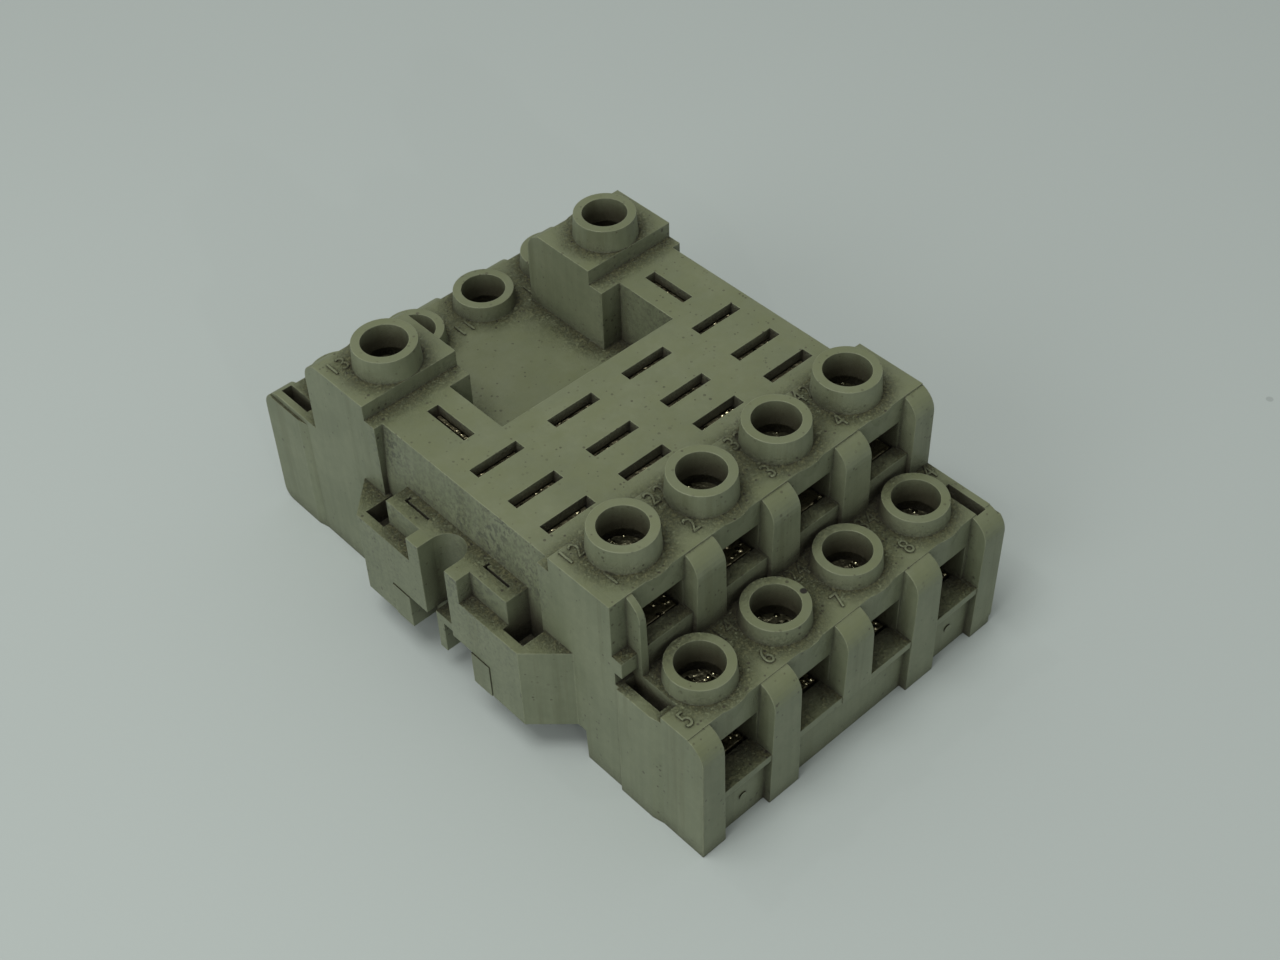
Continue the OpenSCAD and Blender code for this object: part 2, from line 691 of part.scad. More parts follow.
// Terminal plate with the strip that joins it to its fork
module contact(t) {
    front = t[2] ? high_lintel_d + 0.6 : chamber_d;
    reach = is_coil(t) ? t[3] - well_l / 2 + fit : t[3] - fork_half_w + leaf_t;
    base_z = t[2] ? strip_z(t) - 2 : strip_z(t);
    color(contact_colour) at_end(t[1]) translate([t[0], 0, 0]) {
        difference() {
            box([-strip_w / 2, front, strip_z(t)],
                [strip_w / 2, reach + (is_coil(t) ? well_l - 2 * fit : 0), sill_z(t)]);
            translate([0, screw_d(t), strip_z(t) - over]) cylinder(r = shank_r + fit / 2, h = 3);
            if (is_coil(t))
                box([-fork_half_w + leaf_t, reach, strip_z(t) - over],
                    [fork_half_w - leaf_t, reach + well_l + over, sill_z(t) + over]);
        }
        if (is_coil(t))
            along_y(reach, reach + strip_w) fork(base_z);
        else
            translate([0, t[3], 0]) along_x(-strip_w / 2, strip_w / 2) fork(base_z);
    }
}

// Square plate with turned-down sides that presses the wire on the terminal plate
module clamp_plate(t) {
    half = chamber_w / 2 - 0.45;
    half_l = 2.7;
    z = clamp_z(t);
    color(clamp_colour) at_end(t[1]) translate([t[0], screw_d(t), 0]) difference() {
        along_y(-half_l, half_l)
            polygon(ribbon([[-half, z - 0.1], [-half + 0.6, z + clamp_t / 2],
                [half - 0.6, z + clamp_t / 2], [half, z - 0.1]], clamp_t));
        translate([0, 0, z - over]) cylinder(r = shank_r + 0.15, h = 3);
    }
}

// Cheese-head screw with a crossed slot
module terminal_screw(t) {
    seat_z = clamp_z(t) + clamp_t;
    top_z = seat_z + head_h;
    tip_z = strip_z(t) - 2.4;
    chamfer = 0.25;
    drive_w = 0.75;
    drive_l = 4.2;
    drive_z = top_z - 1;
    color(screw_colour) at_end(t[1]) translate([t[0], screw_d(t), 0]) difference() {
        union() {
            translate([0, 0, seat_z]) cylinder(r = head_r, h = head_h - chamfer);
            translate([0, 0, top_z - chamfer]) cylinder(r1 = head_r, r2 = head_r - chamfer, h = chamfer);
            translate([0, 0, tip_z]) cylinder(r = shank_r, h = seat_z - tip_z + chamfer);
        }
        box([-drive_l / 2, -drive_w / 2, drive_z], [drive_l / 2, drive_w / 2, top_z + over]);
        box([-drive_w / 2, -drive_l / 2, drive_z], [drive_w / 2, drive_l / 2, top_z + over]);
    }
}

// ---- Assembly -----------------------------------------------------------

housing();
base_cover();
rail_latch();
for (i = [0:len(TERMINALS) - 1]) {
    contact(TERMINALS[i]);
    clamp_plate(TERMINALS[i]);
    terminal_screw(TERMINALS[i]);
}
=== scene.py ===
"""Looks for a rail-mounted relay socket with fourteen screw terminals.

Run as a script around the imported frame. It is laid out as an add-on: each group of
pieces has its own operator, and the sizes and colours that a user would change are
properties of the scene.
"""

import math

import bmesh
import bpy
from mathutils import Matrix, Vector


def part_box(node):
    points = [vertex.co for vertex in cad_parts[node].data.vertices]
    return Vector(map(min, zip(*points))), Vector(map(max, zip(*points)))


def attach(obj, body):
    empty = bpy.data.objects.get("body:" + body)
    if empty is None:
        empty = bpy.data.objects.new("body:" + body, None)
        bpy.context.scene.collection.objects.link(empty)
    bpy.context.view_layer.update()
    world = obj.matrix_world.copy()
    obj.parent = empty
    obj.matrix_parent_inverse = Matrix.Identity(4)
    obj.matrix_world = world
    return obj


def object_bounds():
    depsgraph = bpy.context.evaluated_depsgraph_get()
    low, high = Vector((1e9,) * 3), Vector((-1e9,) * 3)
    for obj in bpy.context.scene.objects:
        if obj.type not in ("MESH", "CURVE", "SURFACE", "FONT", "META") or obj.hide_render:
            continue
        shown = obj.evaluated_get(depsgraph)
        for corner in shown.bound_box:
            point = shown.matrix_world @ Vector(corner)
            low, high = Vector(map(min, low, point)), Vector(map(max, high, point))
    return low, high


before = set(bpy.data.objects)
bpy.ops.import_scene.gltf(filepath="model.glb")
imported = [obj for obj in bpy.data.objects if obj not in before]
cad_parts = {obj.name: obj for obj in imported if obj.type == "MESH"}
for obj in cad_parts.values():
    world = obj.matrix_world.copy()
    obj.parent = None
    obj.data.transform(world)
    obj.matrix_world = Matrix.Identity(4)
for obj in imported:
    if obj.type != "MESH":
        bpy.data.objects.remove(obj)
CAD_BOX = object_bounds()

bl_info = {
    "name": "Relay socket",
    "version": (1, 0, 0),
    "blender": (4, 5, 0),
    "location": "View3D > Sidebar > Socket",
    "description": "Dusty moulded plastic, plated metal and raised numbers for a relay socket",
    "category": "Object",
}

MM = 0.001
ROOT_BODY = "socket"

# Tiers and collars of the housing
LOW_TIER_Z = 16.7 * MM
LOW_COLLAR_H = 1.9 * MM
HIGH_COLLAR_H = 2.7 * MM

# How far dirt reaches out of a seam and dust out of a corner, how far dust and painted shade reach from
# a ledge, and how far painted shade reaches over the metal in the holes
SEAM_REACH = 0.6 * MM
CORNER_REACH = 2.6 * MM
LEDGE_REACH = 6.5 * MM
METAL_HOLLOW_SHADE_REACH = 5.0 * MM

# Relief of the surfaces, and how far the metal's edges are softened
MOULD_GRAIN = 0.012 * MM
DUST_CRUST = 0.9 * MM
METAL_EDGE = 0.15 * MM
METAL_WAVES = 0.30 * MM
DENT_DEPTH = 0.25 * MM
SCRATCH_DEPTH = 0.012 * MM
CARD_FIBRES = 0.02 * MM

# Peppered part of the side walls: shares of the half length, and heights in millimetres
PEPPER_FROM, PEPPER_TO = 0.34, 0.44
PEPPER_LOW, PEPPER_HIGH = 10.0, 22.0

# Chip in one collar: its terminal, place beside the screw, and radii in millimetres
CHIPPED_TERMINAL = 2
CHIP_DX, CHIP_DY = 3.05, -0.72
CHIP_INNER, CHIP_OUTER = 0.3, 0.42

# Build of a raised digit
FONT_PER_DIGIT = 1.35
DIGIT_NARROWING = 0.85
DIGIT_SPACING = 1.15
DIGIT_BEVEL = 0.04 * MM

# Raised numbers: terminal in the CAD names, text, and place beside its screw in millimetres
NUMBERS = (
    # low row at the front
    (1, "5", -4.6, -2.9), (2, "6", -4.1, -2.9), (3, "7", -4.2, -2.9), (4, "8", -4.3, -2.8),
    (2, "14", -4.7, 2.1), (3, "24", -4.5, 2.3), (4, "34", -4.6, 2.2), (4, "44", 4.4, 2.4),
    # high row at the front
    (5, "12", -4.2, 2.4), (6, "22", -3.5, 2.4), (7, "32", -2.9, 2.3), (8, "42", -3.6, 2.4),
    (5, "1", -3.6, -2.3), (6, "2", -3.8, -2.6), (7, "3", -3.7, -2.7), (8, "4", -3.8, -2.7),
    # low row at the rear, then the two coil towers
    (9, "9", -4.6, -2.4), (10, "10", -4.6, -2.3), (11, "11", -4.6, -2.2), (12, "12", -4.6, -2.3),
    (13, "13", -4.2, 2.7), (14, "14", 3.9, 2.8),
)


# ---- Sizes and colours ------------------------------------------------------

class MouldingSettings(bpy.types.PropertyGroup):
    """Colours and wear of the moulded plastic"""
    plastic: bpy.props.FloatVectorProperty(
        name="Plastic", description="Colour of the clean moulded plastic",
        subtype="COLOR", size=3, min=0.0, max=1.0, default=(0.140, 0.160, 0.097))
    # A brighter copy of this colour marks the open edges, partly wear and partly a painted highlight
    pale: bpy.props.FloatVectorProperty(
        name="Rubbed plastic", description="Colour of rubbed edges and of the lighter cloudy patches",
        subtype="COLOR", size=3, min=0.0, max=1.0, default=(0.235, 0.256, 0.165))
    film: bpy.props.FloatVectorProperty(
        name="Film", description="Colour of the thin olive film on the upper faces",
        subtype="COLOR", size=3, min=0.0, max=1.0, default=(0.132, 0.148, 0.062))
    film_amount: bpy.props.FloatProperty(
        name="Film amount", description="How much the film covers the upper faces",
        min=0.0, max=1.0, default=0.6, subtype="FACTOR")
    dust: bpy.props.FloatVectorProperty(
        name="Dust", description="Colour of the brown dust in the corners",
        subtype="COLOR", size=3, min=0.0, max=1.0, default=(0.070, 0.070, 0.025))
    dust_pale: bpy.props.FloatVectorProperty(
        name="Dry dust", description="Colour of the paler grains in the dust",
        subtype="COLOR", size=3, min=0.0, max=1.0, default=(0.175, 0.172, 0.078))
    grime: bpy.props.FloatVectorProperty(
        name="Grime", description="Colour of the grey grime peppered over the side walls",
        subtype="COLOR", size=3, min=0.0, max=1.0, default=(0.062, 0.066, 0.050))
    # This colour is also the painted shade deep in the holes, slots and wire entries
    speck_and_shade: bpy.props.FloatVectorProperty(
        name="Specks", description="Colour of the dark specks, and of the dirt deep in seams and holes",
        subtype="COLOR", size=3, min=0.0, max=1.0, default=(0.040, 0.034, 0.020))
    dust_amount: bpy.props.FloatProperty(
        name="Dust amount", description="How much dust lies in corners and on ledges",
        min=0.0, max=1.0, default=1.0, subtype="FACTOR")
    edge_radius: bpy.props.FloatProperty(
        name="Edge radius", description="Softness of the moulded edges",
        min=0.0, max=0.001, default=0.00016, unit="LENGTH")


class MetalSettings(bpy.types.PropertyGroup):
    """Colours of the metal parts"""
    strip: bpy.props.FloatVectorProperty(
        name="Contact strip", description="Colour of the rolled brass contacts",
        subtype="COLOR", size=3, min=0.0, max=1.0, default=(0.52, 0.47, 0.30))
    plate: bpy.props.FloatVectorProperty(
        name="Clamp plate", description="Colour of the nickel-plated clamp plates",
        subtype="COLOR", size=3, min=0.0, max=1.0, default=(0.66, 0.64, 0.55))
    screw: bpy.props.FloatVectorProperty(
        name="Screw", description="Colour of the plated terminal screws",
        subtype="COLOR", size=3, min=0.0, max=1.0, default=(0.44, 0.42, 0.27))
    # This colour is also painted as shade on the metal deep in the holes, slots and wire entries
    tarnish_and_shade: bpy.props.FloatVectorProperty(
        name="Tarnish", description="Colour of the dull brown film on the metal",
        subtype="COLOR", size=3, min=0.0, max=1.0, default=(0.034, 0.032, 0.016))


class NumberSettings(bpy.types.PropertyGroup):
    """Raised numbers beside the collars"""
    height: bpy.props.FloatProperty(
        name="Height", description="Height of a digit",
        min=0.001, max=0.004, default=0.0020, unit="LENGTH")
    rise: bpy.props.FloatProperty(
        name="Rise", description="How far the digits stand out of the plastic",
        min=0.00002, max=0.0006, default=0.00012, unit="LENGTH")


class StageSettings(bpy.types.PropertyGroup):
    """Floor, lamps and camera"""
    floor: bpy.props.FloatVectorProperty(
        name="Floor", description="Colour of the pale floor",
        subtype="COLOR", size=3, min=0.0, max=1.0, default=(0.438, 0.486, 0.472))
    sky: bpy.props.FloatProperty(
        name="Sky", description="Strength of the even light from all round",
        min=0.0, max=3.0, default=0.42)
    softbox: bpy.props.FloatProperty(
        name="Softbox", description="Power of the large lamp overhead",
        min=0.0, max=20.0, default=1.25, unit="POWER")
    lens: bpy.props.FloatProperty(
        name="Lens", description="Focal length of the camera in millimetres",
        min=20.0, max=200.0, default=51.83)
    azimuth: bpy.props.FloatProperty(
        name="Azimuth", description="Direction the camera looks in, from +Y towards +X",
        subtype="ANGLE", default=math.radians(41.45))
    elevation: bpy.props.FloatProperty(
        name="Elevation", description="How far the camera looks down",
        subtype="ANGLE", default=math.radians(45.46))
    roll: bpy.props.FloatProperty(
        name="Roll", description="Turn of the camera about its own axis",
        subtype="ANGLE", default=math.radians(-2.07))
    eye: bpy.props.FloatVectorProperty(
        name="Eye", description="Place of the camera", subtype="TRANSLATION", size=3, unit="LENGTH",
        default=(-0.08942, -0.10426, 0.15125))


class SocketSettings(bpy.types.PropertyGroup):
    """All settings of the socket's looks"""
    moulding: bpy.props.PointerProperty(type=MouldingSettings)
    metal: bpy.props.PointerProperty(type=MetalSettings)
    numbers: bpy.props.PointerProperty(type=NumberSettings)
    stage: bpy.props.PointerProperty(type=StageSettings)


# ---- Node helpers -----------------------------------------------------------

class NodeTree:
    """Short names for building one material's nodes"""

    def __init__(self, name):
        self.material = bpy.data.materials.new(name)
        self.material.use_nodes = True
        self.tree = self.material.node_tree
        self.tree.nodes.clear()

    def add(self, kind, **values):
        node = self.tree.nodes.new(kind)
        for key, value in values.items():
            setattr(node, key, value)
        return node

    def link(self, source, target):
        self.tree.links.new(source, target)

    def feed(self, socket, value):
        """Links a socket, or sets a constant on it"""
        if isinstance(value, bpy.types.NodeSocket):
            self.link(value, socket)
        elif hasattr(value, "__len__") and len(value) == 3 and len(socket.default_value) == 4:
            socket.default_value = (*value, 1.0)
        else:
            socket.default_value = value

    def math(self, operation, a, b=None, clamp=False):
        node = self.add("ShaderNodeMath", operation=operation, use_clamp=clamp)
        self.feed(node.inputs[0], a)
        if b is not None:
            self.feed(node.inputs[1], b)
        return node.outputs[0]

    def product(self, first, *others):
        """Two or more values multiplied together"""
        for other in others:
            first = self.math("MULTIPLY", first, other)
        return first

    def ramp(self, value, low, high, to_low=0.0, to_high=1.0):
        """Smooth step of value from low..high to to_low..to_high"""
        node = self.add("ShaderNodeMapRange", interpolation_type="SMOOTHSTEP")
        self.feed(node.inputs["Value"], value)
        node.inputs["From Min"].default_value = low
        node.inputs["From Max"].default_value = high
        node.inputs["To Min"].default_value = to_low
        node.inputs["To Max"].default_value = to_high
        return node.outputs["Result"]

    def mix(self, factor, a, b):
        node = self.add("ShaderNodeMix", data_type="RGBA")
        self.feed(node.inputs["Factor"], factor)
        self.feed(node.inputs["A"], a)
        self.feed(node.inputs["B"], b)
        return node.outputs["Result"]

    def place(self, scale):
        """Object coordinates with scale cycles per millimetre on each axis"""
        coords = self.add("ShaderNodeTexCoord").outputs["Object"]
        node = self.add("ShaderNodeVectorMath", operation="MULTIPLY")
        self.link(coords, node.inputs[0])
        node.inputs[1].default_value = [s / MM for s in scale]
        return node.outputs["Vector"]

    def noise(self, scale, detail=3.0, roughness=0.55):
        """Noise with scale cycles per millimetre, one number or one for each axis"""
        scale = scale if hasattr(scale, "__len__") else (scale,) * 3
        node = self.add("ShaderNodeTexNoise")
        self.link(self.place(scale), node.inputs["Vector"])
        node.inputs["Scale"].default_value = 1.0
        node.inputs["Detail"].default_value = detail
        node.inputs["Roughness"].default_value = roughness
        return node.outputs["Fac"]

    def cells(self, scale, share):
        """Cells, scale to the millimetre: distance to a cell's middle, the chosen share, and chance"""
        node = self.add("ShaderNodeTexVoronoi")
        self.link(self.place((scale,) * 3), node.inputs["Vector"])
        node.inputs["Scale"].default_value = 1.0
        pick = self.add("ShaderNodeSeparateColor")
        self.link(node.outputs["Color"], pick.inputs["Color"])
        chosen = self.math("LESS_THAN", pick.outputs["Red"], share)
        return node.outputs["Distance"], chosen, pick.outputs["Green"]

    def grains(self, scale, size, share):
        """Mask of round grains in the chosen share of the cells"""
        distance, chosen, chance = self.cells(scale, share)
        inside = self.math("LESS_THAN", distance, self.product(chance, size))
        return self.product(chosen, inside)

    def dents(self, scale, size, share):
        """Mask of round dents in the chosen share of the cells, and their domed height"""
        distance, chosen, _ = self.cells(scale, share)
        ratio = self.math("DIVIDE", distance, size)
        dome = self.math("SUBTRACT", 1.0, self.product(ratio, ratio), clamp=True)
        dome = self.product(chosen, dome)
        return self.math("GREATER_THAN", dome, 0.02), dome

    def bump(self, height, distance, strength=1.0, normal=None):
        node = self.add("ShaderNodeBump")
        node.inputs["Strength"].default_value = strength
        node.inputs["Distance"].default_value = distance
        self.feed(node.inputs["Height"], height)
        if normal is not None:
            self.link(normal, node.inputs["Normal"])
        return node.outputs["Normal"]

    def axis_of_normal(self, axis):
        """One component of the true normal"""
        split = self.add("ShaderNodeSeparateXYZ")
        self.link(self.add("ShaderNodeNewGeometry").outputs["Normal"], split.inputs[0])
        return split.outputs[axis]

    def closeness(self, distance):
        """0 in the open, 1 deep in a corner"""
        node = self.add("ShaderNodeAmbientOcclusion", samples=6)
        node.inputs["Distance"].default_value = distance
        return self.math("SUBTRACT", 1.0, node.outputs["AO"])

    def spot(self, centre, inner, outer):
        """1 inside a ball of the inner radius, 0 outside the outer one, all in millimetres"""
        node = self.add("ShaderNodeVectorMath", operation="DISTANCE")
        self.link(self.place((1.0, 1.0, 1.0)), node.inputs[0])
        node.inputs[1].default_value = [c / MM for c in centre]
        return self.ramp(node.outputs["Value"], inner, outer, 1.0, 0.0)

    def edge(self, radius):
        """Softened normal, and a mask of the edges where it turns away from the true normal"""
        soft = self.add("ShaderNodeBevel", samples=4)
        soft.inputs["Radius"].default_value = radius
        dot = self.add("ShaderNodeVectorMath", operation="DOT_PRODUCT")
        self.link(soft.outputs["Normal"], dot.inputs[0])
        self.link(self.add("ShaderNodeNewGeometry").outputs["Normal"], dot.inputs[1])
        turned = self.math("SUBTRACT", 1.0, dot.outputs["Value"], clamp=True)
        return soft.outputs["Normal"], turned

    def surface(self, **inputs):
        shader = self.add("ShaderNodeBsdfPrincipled")
        for name, value in inputs.items():
            self.feed(shader.inputs[name.replace("_", " ")], value)
        output = self.add("ShaderNodeOutputMaterial")
        self.link(shader.outputs[0], output.inputs["Surface"])
        return self.material


def shaded(colour, factor):
    """A colour made lighter or darker by one factor"""
    return [channel * factor for channel in colour]


class Moulding(NodeTree):
    """Old matte plastic and the layers of wear, dirt, painted shade and painted highlight on it"""

    def __init__(self, name, settings, shade, dusty):
        super().__init__(name)
        self.settings = settings
        self.dusty = dusty
        self.plastic = shaded(settings.plastic, shade)
        self.pale = shaded(settings.pale, shade)
        self.up_axis = self.axis_of_normal("Z")
        self.up = self.ramp(self.up_axis, 0.25, 0.95)
        self.corner = self.closeness(CORNER_REACH)
        self.ledge = self.closeness(LEDGE_REACH)
        self.crust = self.noise(2.3, detail=5.0, roughness=0.72)
        self.patches = self.noise(0.22, detail=4.0, roughness=0.6)

    def clean(self):
        """Broad clouds, fine pale lines and dark runs down the walls, and a mottle over all"""
        clouds = self.noise(0.09, detail=4.0, roughness=0.65)
        colour = self.mix(self.ramp(clouds, 0.35, 0.7, 0.0, 0.4), self.plastic, self.pale)
        wall = self.ramp(self.up, 0.0, 0.4, 0.14, 0.0)
        lines = self.ramp(self.noise((1.6, 1.6, 0.03), detail=2.0), 0.38, 0.62)
        colour = self.mix(self.product(lines, wall), colour, self.pale)
        runs = self.ramp(self.noise((0.45, 0.45, 0.02), detail=5.0, roughness=0.7), 0.52, 0.66)
        colour = self.mix(self.product(runs, wall, 1.7 * self.dusty), colour, self.settings.dust)
        mottle = self.ramp(self.noise(1.1, detail=5.0, roughness=0.75), 0.35, 0.65, 0.0, 0.22)
        return self.mix(mottle, colour, shaded(self.plastic, 0.72))

    def filmed(self, colour):
        """A thin olive film on everything that faces up"""
        patchy = self.ramp(self.noise(0.3, detail=5.0, roughness=0.7), 0.25, 0.75, 0.4, 1.0)
        facing = self.ramp(self.up_axis, 0.05, 0.8)
        film = self.product(facing, self.settings.film_amount * self.dusty, patchy)
        return self.mix(film, colour, self.settings.film)

    def rubbed_and_highlit(self, colour, turned):
        """Edges worn pale where they stand in the open, with a painted highlight along them"""
        patchy = self.ramp(self.noise(0.5, detail=4.0), 0.32, 0.68, 0.4, 1.0)
        in_the_open = self.ramp(self.corner, 0.3, 0.65, 0.9, 0.0)
        # Wear and painted highlight: the open edges turn a brighter pale
        edge_wear_and_highlight = self.product(self.ramp(turned, 0.01, 0.12), patchy, in_the_open)
        return self.mix(edge_wear_and_highlight, colour, shaded(self.pale, 1.3))

    def dust_cover(self):
        """Amount of dust: thick where a ledge meets a wall, thinner further out"""
        lodged = self.product(
            self.ramp(self.corner, 0.06, 0.40),
            self.ramp(self.up_axis, 0.05, 0.6, 0.14, 1.0),
            self.ramp(self.patches, 0.3, 0.6, 0.6, 1.3))
        thin = self.product(
            self.ramp(self.ledge, 0.10, 0.45, 0.0, 0.5),
            self.up,
            self.ramp(self.patches, 0.34, 0.58, 0.25, 1.0))
        caked = self.ramp(self.crust, 0.38, 0.56, 0.2, 1.0)
        amount = self.product(self.math("ADD", lodged, thin), caked)
        return self.math("MULTIPLY", amount, self.settings.dust_amount * self.dusty, clamp=True)

    def dusted(self, colour, amount):
        """Brown dust with paler, dry grains in it"""
        dry = self.ramp(self.noise(3.0, detail=3.0, roughness=0.7), 0.48, 0.6)
        dust = self.mix(dry, self.settings.dust, self.settings.dust_pale)
        return self.mix(self.product(amount, 0.92), colour, dust)

    def specked(self, colour, amount):
        """Specks of dirt, more of them where the dust lies"""
        specks = self.math("MAXIMUM", self.grains(2.4, 0.42, 0.16), self.grains(1.3, 0.26, 0.12))
        strewn = self.ramp(self.patches, 0.40, 0.62, 0.25, 0.7)
        likely = self.math("ADD", self.product(amount, 0.8), strewn, clamp=True)
        return self.mix(self.product(specks, likely), colour, self.settings.speck_and_shade)

    def peppered(self, colour):
        """Grey grime on the upper half of the walls between the terminal blocks"""
        place = self.add("ShaderNodeSeparateXYZ")
        self.link(self.place((1.0, 1.0, 1.0)), place.inputs[0])
        half_length = CAD_BOX[1][1] / MM
        along = self.math("ABSOLUTE", place.outputs["Y"])
        pepper = self.product(
            self.ramp(along, PEPPER_FROM * half_length, PEPPER_TO * half_length, 1.0, 0.0),
            self.ramp(self.math("ABSOLUTE", self.axis_of_normal("X")), 0.7, 0.95),
            self.ramp(place.outputs["Z"], PEPPER_LOW, PEPPER_HIGH, 0.3, 1.0),
            self.dusty,
            self.ramp(self.noise(0.12, detail=3.0), 0.36, 0.58, 0.35, 1.0))
        light = self.ramp(self.noise(2.6, detail=3.0, roughness=0.75), 0.54, 0.62, 0.0, 0.6)
        dark = self.ramp(self.noise(2.0, detail=4.0, roughness=0.75), 0.47, 0.57, 0.0, 0.9)
        colour = self.mix(self.product(light, pepper), colour, self.pale)
        return self.mix(self.product(dark, pepper), colour, self.settings.grime)

    def seam_dirt_and_hollow_shade(self, colour):
        """Dirt in seams and round raised figures, and painted shade deep in holes, slots and wire
        entries
        """
        seam = self.ramp(self.closeness(SEAM_REACH), 0.22, 0.6, 0.0, 0.6)
        colour = self.mix(seam, colour, self.settings.speck_and_shade)
        # Painted shade: far into the hollows the plastic is darkened towards the speck colour
        return self.mix(self.ramp(self.ledge, 0.50, 0.76, 0.0, 0.92), colour, self.settings.speck_and_shade)

    def chip_dirt_and_shade(self, colour, place):
        """One small chip painted as a near-black spot: its dirt together with the painted shade of its
        pit
        """
        hole = self.spot(place, CHIP_INNER, CHIP_OUTER)
        return self.mix(hole, colour, shaded(self.settings.speck_and_shade, 0.3))


def moulded_plastic(name, settings, shade=1.0, dusty=1.0, chip=None):
    """Old matte plastic: cloudy colour, brown dust in corners and on ledges, specks, edges worn pale
    with a painted highlight, and painted shade deep in holes, slots and wire entries

    shade makes the plastic lighter or darker, dusty scales the dirt, and chip is the
    place of one small chip, painted near-black with its dirt and painted shade.
    """
    nodes = Moulding(name, settings, shade, dusty)
    soft_normal, turned = nodes.edge(settings.edge_radius)
    colour = nodes.rubbed_and_highlit(nodes.filmed(nodes.clean()), turned)
    amount = nodes.dust_cover()
    colour = nodes.specked(nodes.dusted(colour, amount), amount)
    colour = nodes.seam_dirt_and_hollow_shade(nodes.peppered(colour))
    if chip is not None:
        colour = nodes.chip_dirt_and_shade(colour, chip)

    grain = nodes.noise(9.0, detail=3.0, roughness=0.6)
    normal = nodes.bump(grain, MOULD_GRAIN, 0.6, soft_normal)
    normal = nodes.bump(nodes.product(nodes.crust, amount), DUST_CRUST, 1.0, normal)
    rough = nodes.math("ADD", nodes.ramp(grain, 0.3, 0.7, 0.46, 0.54), nodes.product(amount, 0.35))
    return nodes.surface(Base_Color=colour, Roughness=rough, Normal=normal)


def plated_metal(name, colour, tarnish_and_shade, roughness, scratch):
    """Plated metal under a patchy brown film and painted shade deep in the holes, with fine scratches
    and bright dents that glint
    """
    nodes = NodeTree(name)
    film = nodes.ramp(nodes.noise(0.5, detail=5.0, roughness=0.65), 0.40, 0.68)
    # Painted shade: far into holes, slots and wire entries the metal turns dark, dull and less metallic
    deep = nodes.ramp(nodes.closeness(METAL_HOLLOW_SHADE_REACH), 0.5, 0.85, 0.0, 0.93)
    bright, dome = nodes.dents(1.5, 0.5, 0.34)
    film_and_hollow_shade = nodes.math("MAXIMUM", nodes.product(film, 0.8), deep)
    dull = nodes.product(film_and_hollow_shade, nodes.math("SUBTRACT", 1.0, bright))
    base = nodes.mix(dull, colour, tarnish_and_shade)
    waves = nodes.noise(1.6, detail=2.0, roughness=0.5)
    scratches = nodes.noise(scratch, detail=2.0, roughness=0.7)
    normal = nodes.bump(waves, METAL_WAVES, 0.8, nodes.edge(METAL_EDGE)[0])
    normal = nodes.bump(dome, DENT_DEPTH, 1.0, normal)
    normal = nodes.bump(scratches, SCRATCH_DEPTH, 0.5, normal)
    rough = nodes.ramp(scratches, 0.3, 0.7, roughness, roughness + 0.1)
    rough = nodes.math("ADD", rough, nodes.product(dull, 0.25))
    metallic = nodes.ramp(dull, 0.4, 1.0, 1.0, 0.6)
    return nodes.surface(Base_Color=base, Roughness=rough, Normal=normal, Metallic=metallic)


# ---- Helpers for the operators ----------------------------------------------

def dress(node, material):
    """Puts one material on a CAD node"""
    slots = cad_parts[node].data.materials
    slots.clear()
    slots.append(material)


def numbered(prefix):
    """All CAD nodes of a numbered kind, in order"""
    found = [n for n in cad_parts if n.startswith(prefix + "_")]
    return sorted(found, key=lambda n: int(n.rsplit("_", 1)[1]))


def settings_of(context):
    return context.scene.relay_socket


def tier_height(terminal):
    """Height of the face that carries a terminal's collar"""
    on_high = 5 <= terminal <= 8 or terminal >= 13
    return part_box("housing")[1].z - HIGH_COLLAR_H if on_high else LOW_TIER_Z


def beside_screw(terminal, dx, dy, z):
    """A point at height z, beside a terminal's screw by dx and dy millimetres"""
    low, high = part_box("terminal_screw_%d" % terminal)
    centre = (low + high) / 2
    return Vector((centre.x + dx * MM, centre.y + dy * MM, z))


# ---- Operators --------------------------------------------------------------

class SOCKET_OT_mouldings(bpy.types.Operator):
    """Dresses the housing, the base cover and the rail latch in moulded plastic"""
    bl_idname = "socket.mouldings"
    bl_label = "Mouldings"

    def execute(self, context):
        moulding = settings_of(context).moulding
        rim_z = tier_height(CHIPPED_TERMINAL) + LOW_COLLAR_H
        chip = beside_screw(CHIPPED_TERMINAL, CHIP_DX, CHIP_DY, rim_z)
        dress("housing", moulded_plastic("khaki_moulding", moulding, chip=chip))
        dress("base_cover", moulded_plastic("cover_moulding", moulding, shade=0.96, dusty=0.7))
        dress("rail_latch", moulded_plastic("latch_moulding", moulding, shade=0.85, dusty=0.5))
        return {"FINISHED"}


class SOCKET_OT_contacts(bpy.types.Operator):
    """Dresses the contact strips in dull rolled brass"""
    bl_idname = "socket.contacts"
    bl_label = "Contacts"

    def execute(self, context):
        metal = settings_of(context).metal
        brass = plated_metal("rolled_brass", metal.strip, metal.tarnish_and_shade, 0.2, (1.2, 9.0, 9.0))
        for node in numbered("contact"):
            dress(node, brass)
        return {"FINISHED"}


class SOCKET_OT_clamp_plates(bpy.types.Operator):
    """Dresses the wire clamp plates in nickel"""
    bl_idname = "socket.clamp_plates"
    bl_label = "Clamp plates"

    def execute(self, context):
        metal = settings_of(context).metal
        nickel = plated_metal("nickel_plate", metal.plate, metal.tarnish_and_shade, 0.14, (2.0, 8.0, 2.0))
        for node in numbered("clamp_plate"):
            dress(node, nickel)
        return {"FINISHED"}


